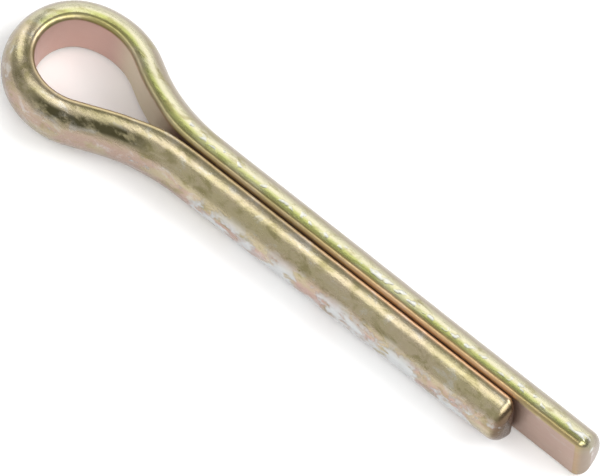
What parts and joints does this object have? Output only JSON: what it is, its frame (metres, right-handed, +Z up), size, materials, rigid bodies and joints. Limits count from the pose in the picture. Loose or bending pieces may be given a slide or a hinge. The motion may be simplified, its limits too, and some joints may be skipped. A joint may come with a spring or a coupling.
{
  "type": "cotter pin",
  "caption": "Cotter pin of half-round wire bent double into an open eye, with one leg longer than the other, plated pale yellow.",
  "frame": {"origin": "on the shank's axis, where the neck bends end and the straight legs begin", "axes": "+X along the shank from the eye towards the leg ends, +Y across the split towards the long leg, +Z up from the surface the pin lies on"},
  "size_m": [0.06, 0.0124, 0.0056],
  "materials": {
    "plated_steel": "yellow zinc plate, satin"
  },
  "bodies": {
    "root": {"pin_wire": "plated_steel"}
  },
  "joints": []
}
